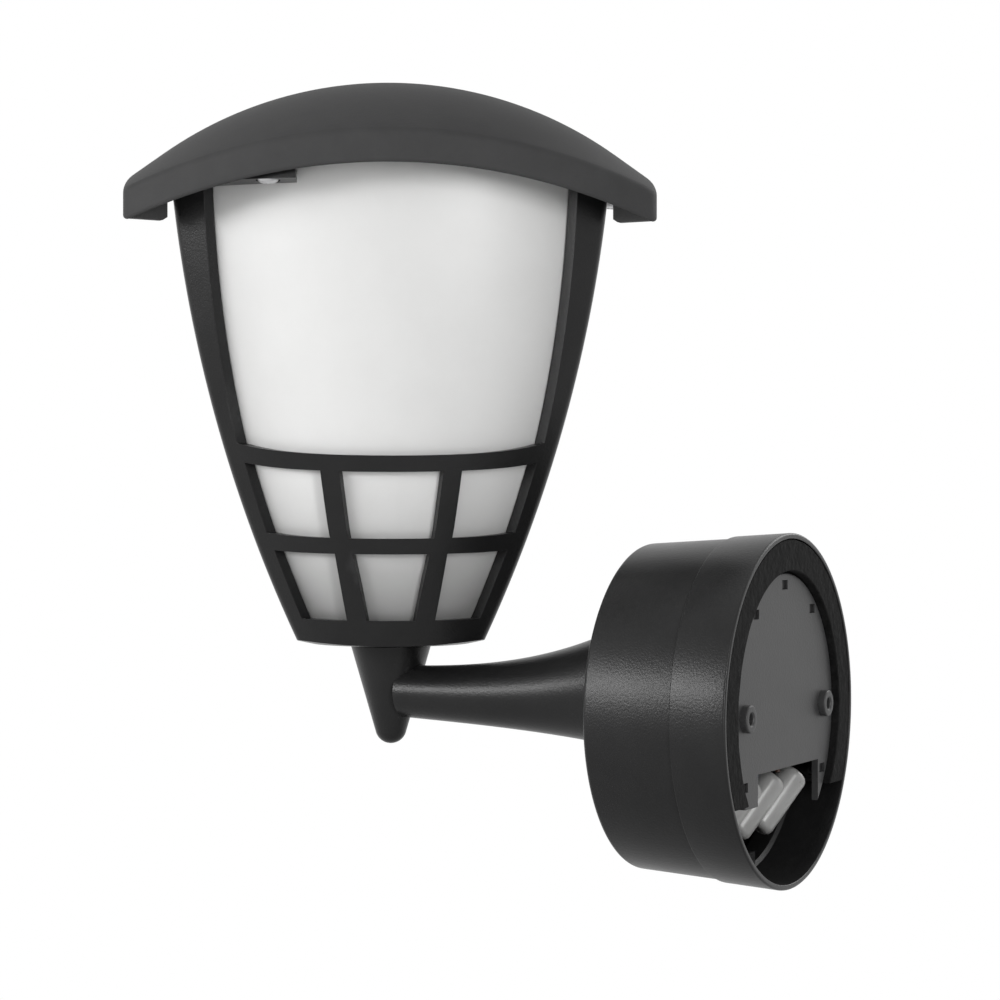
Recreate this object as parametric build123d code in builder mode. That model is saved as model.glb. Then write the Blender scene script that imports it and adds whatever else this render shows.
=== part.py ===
from build123d import *
import os
from math import cos, radians, sin, sqrt

# Wall lantern on an arm, in millimetres.
# Origin: centre of the wall box on the wall plane. +Y points into the wall, +Z is up.

# ---- head: a three-sided lantern whose sides are bowed outwards ----
head_y = -170.4           # lantern axis, in front of the wall
bow = 0.33                # bulge of one side over half its chord
face_angles = (-90, 30, 150)      # directions that the three faces look in
corner_angles = (90, 210, 330)    # directions of the three corner posts

# the cage's half width grows along one large arc
cage_arc_radius = 562.35
cage_arc_height = 253.2
cage_arc_centre = -476.46
cage_bottom = 18.5
cage_floor = 23.0
cage_wall = 4.0           # inset of the cage's inside, about 3.6 mm of wall
cage_corner = 4.5
cage_stations = (14, 45, 85, 130, 175, 222)

# ---- roof: a dome cut off by the same bowed triangle ----
roof_half = 101.0
roof_corner = 9.0
dome_radius = 154.3
dome_apex = 242.6
dome_reach = 91.4         # past this radius the dome runs on as a straight cone
dome_slope = 0.735
fascia_height = 11.8
roof_skin = 3.0
skirt_inset = 3.2
crease_radius = 3.0
rib_thickness = 3.2
rib_bottom = 183.6

# ---- roof screws and the cage lugs that they pass through ----
lug_from, lug_to = -71.0, -35.0   # along the face
lug_bottom, lug_top = 195.8, 203.0
lug_half = 93.0
screw_side, screw_out = -45.5, 75.0
screw_seat = 198.0
screw_head_r, screw_head_h = 4.0, 3.6
screw_r, pilot_r = 1.95, 2.0
boss_r, boss_bottom = 4.2, 203.3

# ---- arm and spigot ----
spigot_top, spigot_r = 17.3, 15.8
spigot_low, spigot_low_r = -14.2, 6.2
spigot_tip = -19.4
channel_r = 4.5
wire_r = 1.0
nipple_seat = 5.5
nipple_hole_r = 5.2
channel_z = 1.7

# ---- wall box ----
box_front, box_seam = -56.8, -21.5
cup_front_r, cup_seam_r = 61.3, 63.5
ring_seam_r, ring_rear_r = 64.3, 65.7
box_wall = 2.1
flange_front, flange_rear = -7.3, -5.3
plate_r, plate_rear = 50.8, -2.8
boss_spacing = 79.6
wall_hole_r = 2.25
notch_left, notch_right, notch_top = -35.0, 27.0, -21.0
gasket_end = -31.0
tray_rear, tray_front, tray_top = -9.5, -21.0, -51.5
tray_middle, tray_width = -8.0, 26.0
window_width, window_height = 5.4, 3.5
arm_root_z = 8.7
arm_screw_circle = 17.0
box_screw_circle, box_screw_count = 54.3, 3

os.makedirs("parts", exist_ok=True)
head_axis = Axis((0, head_y, 0), (0, 0, 1))


def finish(piece, name):
    # names a finished piece and writes its file
    piece.part.label = name
    export_step(piece.part, f"parts/{name}.step")


def around_head(distance, angle):
    # a point at a distance and direction from the lantern axis, in plan
    return (distance * cos(radians(angle)), distance * sin(radians(angle)))


def upright(y, height=0):
    # an upright plane across the box, with its x along +X and its y along +Z;
    # a positive amount goes to the front and a negative one towards the wall
    return Plane(origin=(0, y, height), x_dir=(1, 0, 0), z_dir=(0, -1, 0))


def cage_half(height):
    # half width of the cage at a height, on its large arc
    return cage_arc_centre + sqrt(cage_arc_radius**2 - (height - cage_arc_height)**2)


def bowed_triangle(height, half_width, corner_radius):
    # three arcs between three corners, with the corners rounded
    tip = 2 * half_width / sqrt(3)
    belly = half_width * (1 / sqrt(3) + bow)
    with BuildSketch(Plane(origin=(0, head_y, height))) as outline:
        with BuildLine():
            for angle in corner_angles:
                start = around_head(tip, angle)
                middle = around_head(belly, angle + 60)
                end = around_head(tip, angle + 120)
                ThreePointArc(start, middle, end)
        make_face()
        fillet(outline.vertices(), corner_radius)
    return outline.sketch


def cage_loft(inset, lowest):
    # the cage's form, drawn in by an inset, from a height upwards
    heights = [lowest] + [height for height in cage_stations if height > lowest + 5]
    sections = [
        bowed_triangle(height, cage_half(height) - inset, cage_corner) for height in heights
    ]
    with BuildPart() as form:
        loft(sections=sections)
    return form.part


def under_dome(drop):
    # everything under the dome's surface when it is lowered by a drop
    dome_centre = dome_apex - dome_radius
    edge_height = dome_centre + sqrt(dome_radius**2 - dome_reach**2)
    outer_r = 125.0
    outer_height = edge_height - (outer_r - dome_reach) * dome_slope
    half_reach = dome_reach / 2
    half_height = dome_centre + sqrt(dome_radius**2 - half_reach**2)
    with BuildPart() as mass:
        with BuildSketch(head_side):
            with BuildLine():
                ThreePointArc(
                    (0, dome_apex - drop),
                    (half_reach, half_height - drop),
                    (dome_reach, edge_height - drop),
                )
                Polyline(
                    (dome_reach, edge_height - drop),
                    (outer_r, outer_height - drop),
                    (outer_r, 10),
                    (0, 10),
                    (0, dome_apex - drop),
                )
            make_face()
        revolve(axis=head_axis)
    return mass.part


def face_plane(angle):
    # upright plane through the lantern axis, facing the way one side looks
    normal = (cos(radians(angle)), sin(radians(angle)), 0)
    return Plane(origin=(0, head_y, 0), x_dir=(-normal[1], normal[0], 0), z_dir=normal)


def pane_cutter(plane, low, high):
    # an opening whose sides all point at the lantern axis; low and high are
    # (corner height, middle height, left ratio, right ratio), where a ratio is
    # the distance along the face over the distance from the axis
    sections = []
    for distance in (12.0, 110.0):
        with BuildSketch(plane.offset(distance)) as opening:
            with BuildLine():
                left_low = (low[2] * distance, low[0])
                right_low = (low[3] * distance, low[0])
                left_high = (high[2] * distance, high[0])
                right_high = (high[3] * distance, high[0])
                middle_low = ((low[2] + low[3]) / 2 * distance, low[1])
                middle_high = ((high[2] + high[3]) / 2 * distance, high[1])
                ThreePointArc(left_low, middle_low, right_low)
                Line(right_low, right_high)
                ThreePointArc(right_high, middle_high, left_high)
                Line(left_high, left_low)
            make_face()
        sections.append(opening.sketch)
    with BuildPart() as cutter:
        loft(sections=sections, ruled=True)
    return cutter.part


# openings of one face: the window, and two rows of three panes
window_low, window_high = (99.6, 94.6), (200.5, 208.0)
row_one_low, row_one_high = (65.3, 63.0), (92.1, 88.4)
row_two_low, row_two_high = (31.9, 31.1), (58.5, 57.0)
post_ratio = 1.39         # ratio of the posts' inner edges, where the corner heights hold


def arc_heights(row, left, right):
    # corner and middle heights of a pane, on the arc that runs across its row
    rise = (row[0] - row[1]) / post_ratio**2
    outer = max(abs(left), abs(right))
    if left < 0 < right:
        return row[1] + rise * outer**2, row[1]
    inner = min(abs(left), abs(right))
    corner = row[1] + rise * (outer**2 + inner**2) / 2
    middle = row[1] + rise * ((outer + inner) / 2)**2
    return corner, middle


def row_panes(plane, low, high, post, bar_out, bar_in):
    # three panes of a row; each width is a pair of ratios, at the bottom and the top
    spans = [
        ((-post[0], -bar_out[0]), (-post[1], -bar_out[1])),
        ((-bar_in[0], bar_in[0]), (-bar_in[1], bar_in[1])),
        ((bar_out[0], post[0]), (bar_out[1], post[1])),
    ]
    return [
        pane_cutter(
            plane,
            (*arc_heights(low, *bottom), *bottom),
            (*arc_heights(high, *top), *top),
        )
        for bottom, top in spans
    ]


def face_openings(angle):
    plane = face_plane(angle)
    openings = [pane_cutter(plane, (*window_low, -1.434, 1.434), (*window_high, -1.25, 1.25))]
    openings += row_panes(plane, row_one_low, row_one_high, (1.38, 1.394), (0.525, 0.517), (0.358, 0.37))
    openings += row_panes(plane, row_two_low, row_two_high, (1.277, 1.343), (0.497, 0.501), (0.262, 0.333))
    return openings


def screw_point(angle):
    # where a roof screw stands, in plan, beside one face
    out = around_head(screw_out, angle)
    side = around_head(screw_side, angle + 90)
    return (out[0] + side[0], head_y + out[1] + side[1])


screw_points = [screw_point(angle) for angle in face_angles]

head_side = upright(head_y)

# ---- frame: the cage of posts and bars, its floor and its three screw lugs ----
cage_inside = cage_loft(cage_wall, cage_floor)
cage_outside = cage_loft(0, cage_stations[0])
cage_ceiling = under_dome(roof_skin + 2.5)

with BuildPart() as lugs:
    add(bowed_triangle(lug_bottom, lug_half, cage_corner))
    extrude(amount=lug_top - lug_bottom)
    add(cage_inside, mode=Mode.SUBTRACT)
    for face_angle in face_angles:
        with BuildSketch(face_plane(face_angle).offset(50)):
            with Locations(((lug_from + lug_to) / 2, (lug_bottom + lug_top) / 2)):
                Rectangle(lug_to - lug_from, 40)
    extrude(amount=60, mode=Mode.INTERSECT)

with BuildPart() as lug_webs:
    add(cage_outside)
    add(cage_inside, mode=Mode.SUBTRACT)
    add(cage_ceiling, mode=Mode.INTERSECT)
    for face_angle in face_angles:
        with BuildSketch(face_plane(face_angle).offset(50)):
            with Locations(((lug_from + lug_to) / 2, lug_bottom + 10)):
                Rectangle(lug_to - lug_from, 20)
    extrude(amount=60, mode=Mode.INTERSECT)

with BuildPart() as frame:
    add(cage_outside)
    add(cage_inside, mode=Mode.SUBTRACT)
    add(cage_ceiling, mode=Mode.INTERSECT)
    for face_angle in face_angles:
        add(face_openings(face_angle), mode=Mode.SUBTRACT)
    add(lugs.part)
    add(lug_webs.part)
    # flat seat under the floor, with the rim rising to the corners
    with BuildSketch(head_side):
        with BuildLine():
            Polyline((0, 5), (90, 5), (90, 37.2), (30, cage_bottom), (0, cage_bottom), close=True)
        make_face()
    revolve(axis=head_axis, mode=Mode.SUBTRACT)
    with BuildSketch(Plane(origin=(0, head_y, 0))):
        Circle(nipple_hole_r)
    extrude(amount=40, mode=Mode.SUBTRACT)
    # screw holes, with seats from below that are open to the front
    with BuildSketch(Plane.XY.offset(lug_bottom - 5)):
        with Locations(*screw_points):
            Circle(2.3)
    extrude(amount=20, mode=Mode.SUBTRACT)
    with BuildSketch(Plane.XY.offset(lug_bottom - 5)):
        with Locations(*screw_points):
            Circle(screw_head_r + 0.6)
    extrude(amount=screw_seat - lug_bottom + 5, mode=Mode.SUBTRACT)
finish(frame, "frame")

# ---- diffuser: a translucent cup inside the cage ----
with BuildPart() as diffuser:
    add(cage_loft(cage_wall + 0.4, cage_floor))
    add(cage_loft(cage_wall + 2.6, cage_floor + 2), mode=Mode.SUBTRACT)
    add(under_dome(roof_skin + 6), mode=Mode.INTERSECT)
    with BuildSketch(Plane(origin=(0, head_y, 0))):
        Circle(12.5)
    extrude(amount=40, mode=Mode.SUBTRACT)
finish(diffuser, "diffuser")

# ---- roof cap: dome skin, fascia, corner ribs and screw bosses ----
with BuildPart() as roof_hollow:
    add(bowed_triangle(150, roof_half - skirt_inset, roof_corner - 2))
    extrude(amount=100)
    add(under_dome(roof_skin), mode=Mode.INTERSECT)

with BuildPart() as roof_inner_parts:
    with BuildSketch(Plane.XY.offset(boss_bottom)):
        with Locations(*screw_points):
            Circle(boss_r)
    extrude(amount=30)
    for corner_angle in corner_angles:
        middle_r = (98.5 + 113.5) / 2
        with BuildSketch(Plane.XY.offset(rib_bottom)):
            with Locations(Pos(0, head_y) * Rot(0, 0, corner_angle) * Pos(middle_r, 0)):
                Rectangle(15, rib_thickness)
        extrude(amount=40)
    add(under_dome(roof_skin / 2), mode=Mode.INTERSECT)

with BuildPart() as roof_cap:
    add(bowed_triangle(150, roof_half, roof_corner))
    extrude(amount=110)
    add(under_dome(0), mode=Mode.INTERSECT)
    crease = roof_cap.edges().filter_by(lambda edge: 185 < edge.center().Z < 225)
    crease = crease.filter_by(GeomType.LINE, reverse=True).filter_by(
        lambda edge: sqrt(edge.center().X**2 + (edge.center().Y - head_y)**2) > 60
    )
    fillet(crease, crease_radius)
    add(under_dome(fascia_height), mode=Mode.SUBTRACT)
    add(roof_hollow.part, mode=Mode.SUBTRACT)
    add(roof_inner_parts.part)
    with BuildSketch(Plane.XY.offset(boss_bottom)):
        with Locations(*screw_points):
            Circle(pilot_r)
    extrude(amount=8.5, mode=Mode.SUBTRACT)
finish(roof_cap, "roof_cap")

# ---- roof gasket: a strip under the dome, over the cage's rim ----
with BuildPart() as roof_gasket:
    add(cage_loft(0.2, 150))
    add(cage_loft(cage_wall - 0.2, 150), mode=Mode.SUBTRACT)
    add(under_dome(roof_skin), mode=Mode.INTERSECT)
    add(under_dome(roof_skin + 2.2), mode=Mode.SUBTRACT)
finish(roof_gasket, "roof_gasket")

# ---- roof screws: three pan heads, driven upwards ----
with BuildPart() as roof_screws:
    with BuildSketch(Plane.XY.offset(screw_seat - screw_head_h)):
        with Locations(*screw_points):
            Circle(screw_head_r)
    extrude(amount=screw_head_h)
    chamfer(roof_screws.faces().group_by(Axis.Z)[0].edges(), 1.2)
    with BuildSketch(Plane.XY.offset(screw_seat)):
        with Locations(*screw_points):
            Circle(screw_r)
    extrude(amount=13)
finish(roof_screws, "roof_screws")

# ---- arm: a horn that widens to the wall box, with a tapered spigot ----
head_reach = box_front - head_y   # from the lantern axis to the box's front
# each station: distance from the lantern axis, top, bottom, and width over height
arm_stations = (
    (7, 12, -8.7, 1.07),
    (40, 13.6, -10.4, 1.05),
    (79.5, 21.2, -13.5, 1.02),
    (head_reach, 35.6, -18.2, 1.0),
)
channel_start = Vector(0, head_y, channel_z)
channel_end = Vector(0, box_front + 4, arm_root_z)
with BuildPart() as arm:
    for distance, top, bottom, widening in arm_stations:
        with BuildSketch(upright(head_y + distance, (top + bottom) / 2)):
            Ellipse((top - bottom) / 2 * widening, (top - bottom) / 2)
    loft()
    with BuildSketch(head_side):
        with BuildLine():
            Line((0, spigot_top), (spigot_r, spigot_top))
            Line((spigot_r, spigot_top), (spigot_low_r, spigot_low))
            tip_drop = spigot_low - spigot_tip
            ball_r = (spigot_low_r**2 + tip_drop**2) / (2 * tip_drop)
            ball_side = (ball_r * sin(radians(40)), spigot_tip + ball_r * (1 - cos(radians(40))))
            ThreePointArc((spigot_low_r, spigot_low), ball_side, (0, spigot_tip))
            Line((0, spigot_tip), (0, spigot_top))
        make_face()
    revolve(axis=head_axis)
    with BuildSketch(Plane(origin=channel_start, z_dir=channel_end - channel_start)):
        Circle(channel_r)
    extrude(amount=(channel_end - channel_start).length + 5, mode=Mode.SUBTRACT)
    with BuildSketch(Plane(origin=(0, head_y, channel_start.Z))):
        Circle(channel_r)
    extrude(amount=nipple_seat, mode=Mode.SUBTRACT)
    with BuildSketch(Plane(origin=(0, head_y, nipple_seat))):
        Circle(5.0)
    extrude(amount=30, mode=Mode.SUBTRACT)
    # blind holes in the root for the screws from inside the box
    with BuildSketch(upright(box_front, arm_root_z)):
        with PolarLocations(arm_screw_circle, 3, start_angle=90):
            Circle(1.6)
    extrude(amount=14, mode=Mode.SUBTRACT)
finish(arm, "arm")

# ---- threaded tube, nut, washer and seal that clamp the cage to the spigot ----
with BuildPart() as nipple:
    with BuildSketch(Plane(origin=(0, head_y, nipple_seat))):
        Circle(4.95)
        Circle(3.5, mode=Mode.SUBTRACT)
    extrude(amount=29)
    chamfer(nipple.edges().group_by(Axis.Z)[-1], 0.4)
finish(nipple, "nipple")

with BuildPart() as spigot_gasket:
    with BuildSketch(Plane(origin=(0, head_y, spigot_top))):
        Circle(spigot_r - 1.0)
        Circle(nipple_hole_r, mode=Mode.SUBTRACT)
    extrude(amount=cage_bottom - spigot_top)
finish(spigot_gasket, "spigot_gasket")

with BuildPart() as nipple_washer:
    with BuildSketch(Plane(origin=(0, head_y, cage_floor))):
        Circle(10.0)
        Circle(nipple_hole_r, mode=Mode.SUBTRACT)
    extrude(amount=1.2)
finish(nipple_washer, "nipple_washer")

with BuildPart() as nipple_nut:
    with BuildSketch(Plane(origin=(0, head_y, cage_floor + 1.2))):
        RegularPolygon(7.0, 6, major_radius=False)
        Circle(5.0, mode=Mode.SUBTRACT)
    extrude(amount=4.5)
finish(nipple_nut, "nipple_nut")

# ---- lamp holder: shell, insulating insert, screw contact and centre contact ----
holder_bottom, holder_top = cage_floor + 2, 78.0
holder_web, holder_bore = 31.0, 36.0
insert_top = 43.0
with BuildPart() as holder_shell:
    with BuildSketch(head_side):
        with BuildLine():
            Polyline(
                (13.5, holder_bottom),
                (20.5, holder_bottom),
                (20.5, holder_bottom + 3),
                (19.0, holder_bottom + 5),
                (19.0, 58),
                (17.4, 62),
                (17.4, holder_top),
                (15.2, holder_top),
                (15.2, holder_bore),
                (5.0, holder_bore),
                (5.0, holder_web),
                (13.5, holder_web),
                close=True,
            )
        make_face()
    revolve(axis=head_axis)
    chamfer(holder_shell.edges().group_by(Axis.Z)[-1], 0.6)
finish(holder_shell, "holder_shell")

with BuildPart() as holder_insert:
    with BuildSketch(Plane(origin=(0, head_y, holder_bore))):
        Circle(15.1)
        with Locations((-7, 0), (7, 0)):
            Circle(1.6, mode=Mode.SUBTRACT)
    extrude(amount=insert_top - holder_bore)
finish(holder_insert, "holder_insert")

with BuildPart() as contact_shell:
    with BuildSketch(Plane(origin=(0, head_y, insert_top))):
        Circle(14.7)
        Circle(13.5, mode=Mode.SUBTRACT)
    extrude(amount=29)
finish(contact_shell, "contact_shell")

with BuildPart() as centre_contact:
    with BuildSketch(Plane(origin=(0, head_y, insert_top))):
        Rectangle(16, 5)
    extrude(amount=0.8)
    with BuildSketch(Plane(origin=(0, head_y, insert_top + 0.8))):
        Circle(3.0)
    extrude(amount=1.6)
    chamfer(centre_contact.edges().group_by(Axis.Z)[-1], 0.8)
finish(centre_contact, "centre_contact")

# ---- lamp: glass bulb and screw cap ----
bulb_r, bulb_centre = 30.0, 125.0
cap_bottom, cap_top = 50.0, 75.0
with BuildPart() as lamp_cap:
    with BuildSketch(head_side):
        with BuildLine():
            Polyline((0, 45.8), (4.5, 45.8), (5.2, 47.2), (11.5, cap_bottom), (13.1, 51.5))
            Polyline((13.1, 51.5), (13.1, cap_top), (0, cap_top), (0, 45.8))
        make_face()
    revolve(axis=head_axis)
finish(lamp_cap, "lamp_cap")

with BuildPart() as lamp_bulb:
    with BuildSketch(head_side) as bulb_outline:
        with BuildLine():
            lower = radians(-35)
            joint = (bulb_r * cos(lower), bulb_centre + bulb_r * sin(lower))
            ThreePointArc((0, bulb_centre + bulb_r), (bulb_r, bulb_centre), joint)
            Polyline(joint, (14.3, 93.1), (14.3, cap_top), (0, cap_top), (0, bulb_centre + bulb_r))
        make_face()
        neck = bulb_outline.vertices().filter_by(lambda point: abs(point.Z - 93.1) < 1)
        fillet(neck, 20)
    revolve(axis=head_axis)
finish(lamp_bulb, "lamp_bulb")

# ---- wall box: front cup ----
with BuildPart() as wall_cup:
    with BuildSketch(Plane.XY) as cup_profile:
        with BuildLine():
            Polyline(
                (0, box_front),
                (cup_front_r, box_front),
                (cup_seam_r, box_seam),
                (cup_seam_r - box_wall, box_seam),
                (cup_front_r - box_wall, box_front + 2.5),
                (0, box_front + 2.5),
                close=True,
            )
        make_face()
        fillet(cup_profile.vertices().sort_by(Axis.Y)[:2].sort_by(Axis.X)[-1], 2.4)
    revolve(axis=Axis.Y)
    # posts for the screws that hold the rear ring
    with BuildSketch(upright(flange_front)):
        with PolarLocations(box_screw_circle, box_screw_count, start_angle=90):
            Circle(3.9)
    extrude(amount=flange_front - box_front - 1)
    with BuildSketch(upright(flange_front)):
        with PolarLocations(box_screw_circle, box_screw_count, start_angle=90):
            Circle(1.5)
    extrude(amount=30, mode=Mode.SUBTRACT)
    # way through for the wires, and the arm's screw holes
    with BuildSketch(upright(box_front + 3, arm_root_z)):
        Circle(7.0)
        with PolarLocations(arm_screw_circle, 3, start_angle=90):
            Circle(1.9)
    extrude(amount=5, mode=Mode.SUBTRACT)
finish(wall_cup, "wall_cup")

# ---- wall box: rear ring, its flange and the hooks that snap into the plate ----
lip_r = cup_seam_r - box_wall - 0.1
hook_points = [
    (46.5 * cos(radians(angle)), 46.5 * sin(radians(angle))) for angle in (52, 90, 128, 212, 328)
]
notch_depth = 60.0
notch_middle = ((notch_left + notch_right) / 2, notch_top - notch_depth / 2)
with BuildPart() as wall_ring:
    with BuildSketch(Plane.XY):
        with BuildLine():
            Polyline(
                (ring_seam_r, box_seam),
                (ring_rear_r, -0.6),
                (ring_rear_r - 0.6, 0),
                (ring_rear_r - box_wall, 0),
                (ring_rear_r - box_wall - 0.3, flange_rear),
                (44.0, flange_rear),
                (44.0, flange_front),
                (ring_rear_r - box_wall - 0.5, flange_front),
                (ring_seam_r - box_wall - 1.2, box_seam + 3),
                (lip_r - 2.0, box_seam + 2),
                (lip_r - 2.0, box_seam - 6),
                (lip_r - 0.5, box_seam - 6),
                (lip_r, box_seam),
                close=True,
            )
        make_face()
    revolve(axis=Axis.Y)
    # notch for the terminal block and the supply wires
    with BuildSketch(upright(flange_rear + 1)):
        with Locations(notch_middle):
            Rectangle(notch_right - notch_left, notch_depth)
        Circle(ring_rear_r - box_wall - 0.5, mode=Mode.INTERSECT)
    extrude(amount=8, mode=Mode.SUBTRACT)
    # ledge inside the ring, under the terminal block
    with BuildSketch(upright(tray_rear)):
        with Locations((tray_middle, tray_top - 20)):
            Rectangle(tray_width, 40)
        Circle(ring_rear_r - box_wall - 0.6, mode=Mode.INTERSECT)
    extrude(amount=tray_rear - tray_front)
    # snap hooks
    with BuildSketch(upright(flange_rear - 0.5)):
        with Locations(*hook_points):
            Rectangle(window_width - 0.6, window_height - 0.6)
    extrude(amount=-2.2)
    # screw holes down into the cup's posts
    with BuildSketch(upright(flange_rear + 1)):
        with PolarLocations(box_screw_circle, box_screw_count, start_angle=90):
            Circle(1.9)
    extrude(amount=4, mode=Mode.SUBTRACT)
finish(wall_ring, "wall_ring")

# ---- rear plate: disc with two screw bosses, snap windows and the notch ----
plate_plane = upright(flange_rear)
plate_corner = -32.5
with BuildPart() as rear_plate:
    with BuildSketch(plate_plane):
        Circle(plate_r)
        with Locations(notch_middle):
            Rectangle(notch_right - notch_left, notch_depth, mode=Mode.SUBTRACT)
        with Locations((plate_r, plate_corner - 20)):
            Rectangle(plate_r, 40, mode=Mode.SUBTRACT)
        with Locations(*hook_points):
            Rectangle(window_width, window_height, mode=Mode.SUBTRACT)
    extrude(amount=flange_rear - plate_rear)
    with BuildSketch(plate_plane):
        with GridLocations(boss_spacing, 0, 2, 1):
            Circle(5.0)
    extrude(amount=flange_rear)
    with BuildSketch(plate_plane):
        with GridLocations(boss_spacing, 0, 2, 1):
            Circle(wall_hole_r)
    extrude(amount=flange_rear, mode=Mode.SUBTRACT)
finish(rear_plate, "rear_plate")

# ---- wall gasket: foam ring, open at the bottom ----
with BuildPart() as wall_gasket:
    with BuildSketch(plate_plane):
        Circle(ring_rear_r - box_wall - 0.4)
        Circle(plate_r + 0.9, mode=Mode.SUBTRACT)
        with Locations((0, gasket_end - 20)):
            Rectangle(140, 40, mode=Mode.SUBTRACT)
    extrude(amount=flange_rear)
    # pockets on its hidden side, over the screw heads
    with BuildSketch(plate_plane):
        with PolarLocations(box_screw_circle, box_screw_count, start_angle=90):
            Circle(3.3)
    extrude(amount=-2.3, mode=Mode.SUBTRACT)
finish(wall_gasket, "wall_gasket")

# ---- screws: ring to cup, and arm to cup ----
with BuildPart() as box_screws:
    with BuildSketch(upright(flange_rear)):
        with PolarLocations(box_screw_circle, box_screw_count, start_angle=90):
            Circle(1.45)
    extrude(amount=26)
    with BuildSketch(upright(flange_rear)):
        with PolarLocations(box_screw_circle, box_screw_count, start_angle=90):
            Circle(3.0)
    extrude(amount=-2.0)
finish(box_screws, "box_screws")

with BuildPart() as arm_screws:
    with BuildSketch(upright(box_front + 2.5, arm_root_z)):
        with PolarLocations(arm_screw_circle, 3, start_angle=90):
            Circle(1.55)
    extrude(amount=13)
    with BuildSketch(upright(box_front + 2.5, arm_root_z)):
        with PolarLocations(arm_screw_circle, 3, start_angle=90):
            Circle(3.2)
    extrude(amount=-2.4)
finish(arm_screws, "arm_screws")

# ---- terminal block: three barrels that lean in the notch, on a tray ----
barrel_centre = Vector(-9.9, -15.5, -36.3)
barrel_step = Vector(12.5, -4.0, -0.8)
barrel_lean = Vector(-10, 7.8, 22.5)
barrel_length, barrel_r = 27.0, 5.4
barrel_planes = [
    Plane(origin=barrel_centre + barrel_step * turn, x_dir=barrel_step, z_dir=barrel_lean)
    for turn in (-1, 0, 1)
]
terminal_screw_planes = [
    Plane(origin=barrel.origin, z_dir=barrel.y_dir if barrel.y_dir.Y > 0 else -barrel.y_dir)
    for barrel in barrel_planes
]
with BuildPart() as terminal_block:
    for barrel in barrel_planes:
        with BuildSketch(barrel.offset(-barrel_length / 2)):
            Circle(barrel_r)
        extrude(amount=barrel_length)
    chamfer(terminal_block.edges().filter_by(GeomType.CIRCLE), 2.4)
    with BuildSketch(barrel_planes[1].offset(-5)):
        Rectangle(22, 3)
    extrude(amount=10)
    # foot that stands on the ledge
    with BuildSketch(Plane(origin=(tray_middle + 2, -17.5, tray_top))):
        Rectangle(8, 5)
    extrude(amount=11)
    for screw_plane in terminal_screw_planes:
        with BuildSketch(screw_plane):
            Circle(1.8)
        extrude(amount=barrel_r + 1, mode=Mode.SUBTRACT)
finish(terminal_block, "terminal_block")

with BuildPart() as terminal_screws:
    for screw_plane in terminal_screw_planes:
        with BuildSketch(screw_plane):
            Circle(1.7)
        extrude(amount=barrel_r - 0.6)
finish(terminal_screws, "terminal_screws")

# ---- wires: from the terminal block through the arm and the tube to the holder ----


def bend_radii(points, largest):
    # one radius for each corner, as large as its two runs allow
    radii = []
    for before, corner, after in zip(points, points[1:], points[2:]):
        first, second = corner - before, after - corner
        half_turn = radians(first.get_angle(second) / 2)
        room = 0.45 * min(first.length, second.length) * cos(half_turn) / sin(half_turn)
        radii.append(min(room, largest))
    return radii


def wire_route(barrel, side):
    start = barrel.origin + barrel.z_dir * (barrel_length / 2 + 0.05)
    return [
        start,
        start + Vector(-0.6, -1.5, 5),
        Vector(side * 5 - 4, -27, -7),
        Vector(side, -46, 8.2),
        Vector(side, head_y, channel_start.Z),
        Vector(side, head_y, holder_bore),
    ]


for wire_name, barrel, side in (
    ("wire_live", barrel_planes[1], -1.4),
    ("wire_neutral", barrel_planes[2], 1.4),
):
    route = wire_route(barrel, side)
    radii = bend_radii(route, 12.0)
    radii[-1] = 5.0
    print(wire_name, "bend radii", [round(radius, 1) for radius in radii])
    with BuildPart() as wire:
        with BuildLine() as path:
            FilletPolyline(*route, radius=radii)
        with BuildSketch(Plane(origin=path.line @ 0, z_dir=path.line % 0)):
            Circle(wire_r)
        sweep()
    finish(wire, wire_name)
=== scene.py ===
import bpy
import bmesh
import numpy as np
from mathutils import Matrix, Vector


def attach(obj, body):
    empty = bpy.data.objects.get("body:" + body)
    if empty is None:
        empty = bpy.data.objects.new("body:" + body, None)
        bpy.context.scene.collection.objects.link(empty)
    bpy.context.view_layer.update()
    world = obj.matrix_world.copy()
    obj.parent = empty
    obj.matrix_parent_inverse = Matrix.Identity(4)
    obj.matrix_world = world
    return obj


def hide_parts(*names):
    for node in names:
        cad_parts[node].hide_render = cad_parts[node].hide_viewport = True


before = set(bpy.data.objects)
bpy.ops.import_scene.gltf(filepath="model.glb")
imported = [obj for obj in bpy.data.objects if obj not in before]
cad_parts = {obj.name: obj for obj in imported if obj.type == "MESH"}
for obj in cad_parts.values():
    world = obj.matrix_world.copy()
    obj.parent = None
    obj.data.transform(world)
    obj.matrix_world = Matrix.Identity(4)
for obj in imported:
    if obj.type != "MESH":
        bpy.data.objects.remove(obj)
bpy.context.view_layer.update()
print("frame loaded:", len(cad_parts), "nodes")

# all shapes are worked out in millimetres and turned into metres when a mesh is made
mm = 0.001
headY = -170.4        # lantern axis in front of the wall
headCentre = np.array([0.0, headY, 0.0])
faceAngles = (-90.0, 30.0, 150.0)
cornerAngles = (90.0, 210.0, 330.0)


def aimed(name, data, place, direction):
    # a camera or light that looks along a direction
    thing = bpy.data.objects.new(name, data)
    thing.location = place
    thing.rotation_mode = "QUATERNION"
    thing.rotation_quaternion = Vector(direction).to_track_quat("-Z", "Y")
    bpy.context.scene.collection.objects.link(thing)
    return thing


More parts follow.
